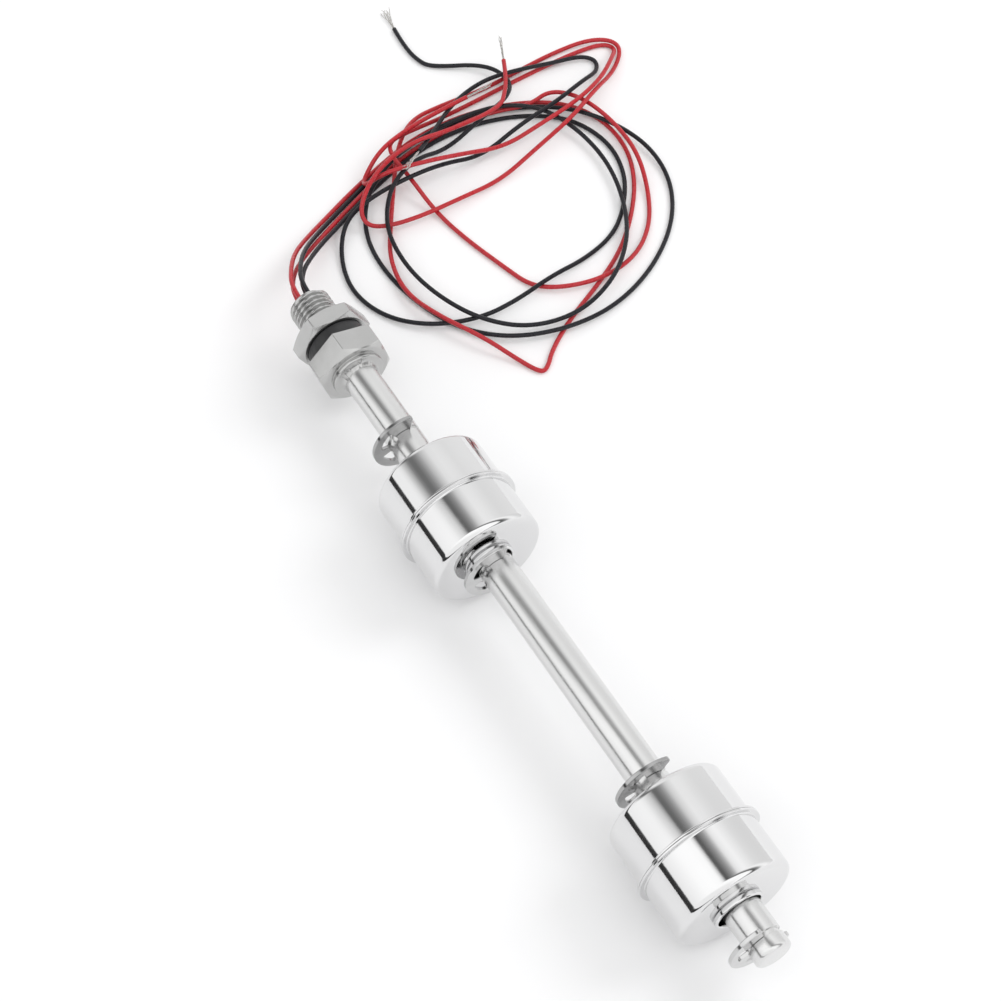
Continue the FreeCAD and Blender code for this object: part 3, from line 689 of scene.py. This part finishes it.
STRAND_COUNT = 7
STRAND_STEPS = 8
STRAND_SPREAD = {"red_1": 0.30, "black_1": 1.5, "red_2": 0.35, "black_2": 0.9}
STRAND_TURNS = {"red_1": 1.1, "black_1": 0.5, "red_2": 1.0, "black_2": 1.6}


def strand_paths(name, start, direction, length):
    """Centre lines of the fine strands beyond the insulation, loosely twisted."""
    across = direction.cross(Vector((0, 0, 1))).normalized()
    up = across.cross(direction).normalized()
    paths = []
    for k in range(STRAND_COUNT):
        points = []
        for i in range(STRAND_STEPS + 1):
            t = i / STRAND_STEPS
            angle = 2 * math.pi * (k / STRAND_COUNT + STRAND_TURNS[name] * t)
            radius = 0.0 if k == 0 else 0.2 + STRAND_SPREAD[name] * t * t * (0.35 + 0.65 * ((k * 5) % 7) / 6)
            offset = across * math.cos(angle) * radius + up * math.sin(angle) * radius * 0.5
            reach = t * length * (0.82 + 0.18 * ((k * 3) % 7) / 6)
            points.append(start + direction * (reach - 0.4) + offset)
        paths.append(points)
    return paths


def strands(name, points):
    """The stripped end: a bundle of tinned copper strands in place of the plain solid."""
    node = name + "_tinned_end"
    end = Vector(points[-1])
    direction = (end - Vector(points[-2])).normalized()
    length = max((high(node) - low(node)).length - 0.6, 7.5)
    floor = STRAND_D
    curve = bpy.data.curves.new(name + "_strands", "CURVE")
    curve.dimensions = "3D"
    curve.resolution_u = 5
    curve.bevel_depth = STRAND_D / 2 * MM
    curve.bevel_resolution = 2
    curve.use_fill_caps = True
    for path in strand_paths(name, end, direction, length):
        spline = curve.splines.new("NURBS")
        spline.points.add(len(path) - 1)
        for point, p in zip(spline.points, path):
            point.co = (p.x * MM, p.y * MM, max(p.z, floor) * MM, 1)
        spline.order_u = 3
        spline.use_endpoint_u = True
    piece = bpy.data.objects.new(name + "_strands", curve)
    bpy.context.scene.collection.objects.link(piece)
    curve.materials.append(MATERIALS["tinned_copper"])
    return dressed(piece, "stem", [node])


def wires():
    """The four leads with their stripped ends."""
    for name, route in WIRE_ROUTES.items():
        slot = name.split("_")[0] + "_insulation"
        start = WIRE_STARTS[name]
        points = [start] + route
        wire = nurbs(name + "_lead", points, WIRE_D, slot)
        dressed(wire, "stem", [name + "_wire"])
        bare = strands(name, points)


# ---------------------------------------------------------------- floor, light and camera
FLOOR_LIFT = 0.08           # added to the floor where the camera or the metal sees it
KEY_POWER = 2.6             # watts
KEY_SIZE = 0.5              # metres across
KEY_PLACE = (0.15, 0.75, 0.75)
TABLE_HALF = 2.6            # metres
CAMERA_PLACE = (197.35, -124.03, 399.17)
CAMERA_RIGHT = (0.51969, 0.85436, 0.0)
CAMERA_DOWN = (0.71005, -0.43190, -0.55614)
CAMERA_FORWARD = (-0.47514, 0.28902, -0.83109)
CAMERA_LENS = 77.84         # focal length for a sensor 36 mm wide


def pale_floor():
    """A wide matt white table top that looks a little lighter to the camera and in the metal."""
    s = Shader("white_table", (0.88, 0.88, 0.885), 0.0, 0.6)
    s.set("Specular IOR Level", 0.2)
    s.shade(s.noise(3, 2), (0.875, 0.875, 0.88), (0.89, 0.89, 0.895))
    path = s.tree.nodes.new("ShaderNodeLightPath")
    seen = s.tree.nodes.new("ShaderNodeMath")
    seen.operation = "MAXIMUM"
    s.tree.links.new(path.outputs["Is Camera Ray"], seen.inputs[0])
    s.tree.links.new(path.outputs["Is Glossy Ray"], seen.inputs[1])
    s.set("Emission Color", (1, 1, 1, 1))
    s.link(s.span(seen.outputs["Value"], 0, 1, 0, FLOOR_LIFT), "Emission Strength")
    half = TABLE_HALF
    mesh = bpy.data.meshes.new("table_top")
    mesh.from_pydata([(-half, -half, 0), (half, -half, 0), (half, half, 0), (-half, half, 0)], [],
                     [(0, 1, 2, 3)])
    mesh.materials.append(s.material)
    table = bpy.data.objects.new("table_top", mesh)
    bpy.context.scene.collection.objects.link(table)


# Brightness of the studio's panels by direction, in degrees from +Y over the top to -Y: as the
# floats at the tip side and at the thread side mirror them, and the dark line at the horizon.
NEAR_PANELS = ((0, 0.90), (18, 0.88), (30, 0.90), (42, 0.95), (54, 1.08), (66, 1.20), (74, 1.12), (79, 1.0),
               (84, 0.60), (89, 0.38), (95, 0.22), (100, 0.12), (103, 0.15), (107, 0.90), (112, 1.28),
               (125, 1.32), (142, 1.30), (160, 1.18), (172, 1.10))
FAR_PANELS = ((0, 1.0), (16, 0.98), (28, 0.95), (40, 1.0), (52, 1.03), (64, 0.98), (76, 0.68), (82, 0.48),
              (89, 0.30), (96, 0.20), (102, 0.20), (108, 0.30), (113, 0.52), (118, 0.72), (125, 1.0),
              (132, 1.12), (150, 1.12), (172, 1.08))
HORIZON = ((0, 1), (168.5, 1), (170, 0.05), (178.5, 0.03))
PANEL_TURN = 69.0           # degrees that the panels turn per unit of the direction's X
PANEL_ZERO = 0.306          # they are as written where X is minus this
FAR_FROM = 0.32             # the far panels set in where X is minus this
FAR_RATE = -6.7


def studio_world():
    """White panels all round, with a dark gap overhead at the camera and one at the horizon."""
    world = bpy.data.worlds.new("studio")
    bpy.context.scene.world = world
    world.use_nodes = True
    tree = world.node_tree
    background = tree.nodes["Background"]
    background.inputs["Strength"].default_value = 1.0
    coords = tree.nodes.new("ShaderNodeTexCoord").outputs["Generated"]
    split = tree.nodes.new("ShaderNodeSeparateXYZ")
    tree.links.new(coords, split.inputs["Vector"])

    def math_node(operation, a, b=None, clamp=False):
        node = tree.nodes.new("ShaderNodeMath")
        node.operation = operation
        node.use_clamp = clamp
        for socket, value in zip(node.inputs, (a, b)):
            if value is None:
                continue
            if isinstance(value, (int, float)):
                socket.default_value = value
            else:
                tree.links.new(value, socket)
        return node.outputs["Value"]

    def ramp(degrees, stops):
        node = tree.nodes.new("ShaderNodeValToRGB")
        tree.links.new(math_node("DIVIDE", degrees, 180.0), node.inputs["Fac"])
        elements = node.color_ramp.elements
        while len(elements) < len(stops):
            elements.new(0.5)
        for element, (angle, value) in zip(elements, stops):
            element.position = angle / 180
            element.color = (value, value, value, 1)
        return node.outputs["Color"]

    def mixed(blend, factor, a, b):
        node = tree.nodes.new("ShaderNodeMix")
        node.data_type = "RGBA"
        node.blend_type = blend
        if isinstance(factor, float):
            node.inputs["Factor"].default_value = factor
        else:
            tree.links.new(factor, node.inputs["Factor"])
        tree.links.new(a, node.inputs["A"])
        tree.links.new(b, node.inputs["B"])
        return node.outputs["Result"]

    around = math_node("ARCTAN2", split.outputs["Z"], split.outputs["Y"])
    degrees = math_node("MULTIPLY", around, 180 / math.pi)
    lean = math_node("MULTIPLY", math_node("ADD", split.outputs["X"], PANEL_ZERO), PANEL_TURN)
    shifted = math_node("ADD", degrees, lean)
    far = math_node("MULTIPLY", math_node("ADD", split.outputs["X"], FAR_FROM), FAR_RATE, clamp=True)
    panels = mixed("MIX", far, ramp(shifted, NEAR_PANELS), ramp(shifted, FAR_PANELS))
    tree.links.new(mixed("MULTIPLY", 1.0, panels, ramp(degrees, HORIZON)), background.inputs["Color"])


def soft_key():
    """A large soft light from the far side, which lays the shadow towards the near side."""
    light = bpy.data.lights.new("key", "AREA")
    light.shape = "DISK"
    light.size = KEY_SIZE
    light.energy = KEY_POWER
    lamp = bpy.data.objects.new("key", light)
    lamp.location = KEY_PLACE
    lamp.rotation_euler = (Vector((0, 0, 0)) - lamp.location).to_track_quat("-Z", "Y").to_euler()
    lamp.visible_glossy = False
    bpy.context.scene.collection.objects.link(lamp)


def camera():
    """The view from above the tip, with the thread at the far left."""
    right = Vector(CAMERA_RIGHT)
    down = Vector(CAMERA_DOWN)
    forward = Vector(CAMERA_FORWARD)
    lens = bpy.data.cameras.new("camera")
    lens.lens = CAMERA_LENS
    lens.sensor_width = 36.0
    lens.clip_start = 0.01
    lens.clip_end = 20.0
    view = bpy.data.objects.new("camera", lens)
    turn = Matrix((right, -down, -forward)).transposed()
    view.matrix_world = Matrix.Translation(Vector(CAMERA_PLACE) * MM) @ turn.to_4x4()
    bpy.context.scene.collection.objects.link(view)
    bpy.context.scene.camera = view


threaded_fitting()
nut_and_gasket()
stem()
for clip in CLIP_ANGLES:
    retaining_clip(clip)
floats()
wires()
pale_floor()
studio_world()
soft_key()
camera()
bpy.context.scene.view_settings.view_transform = "Standard"
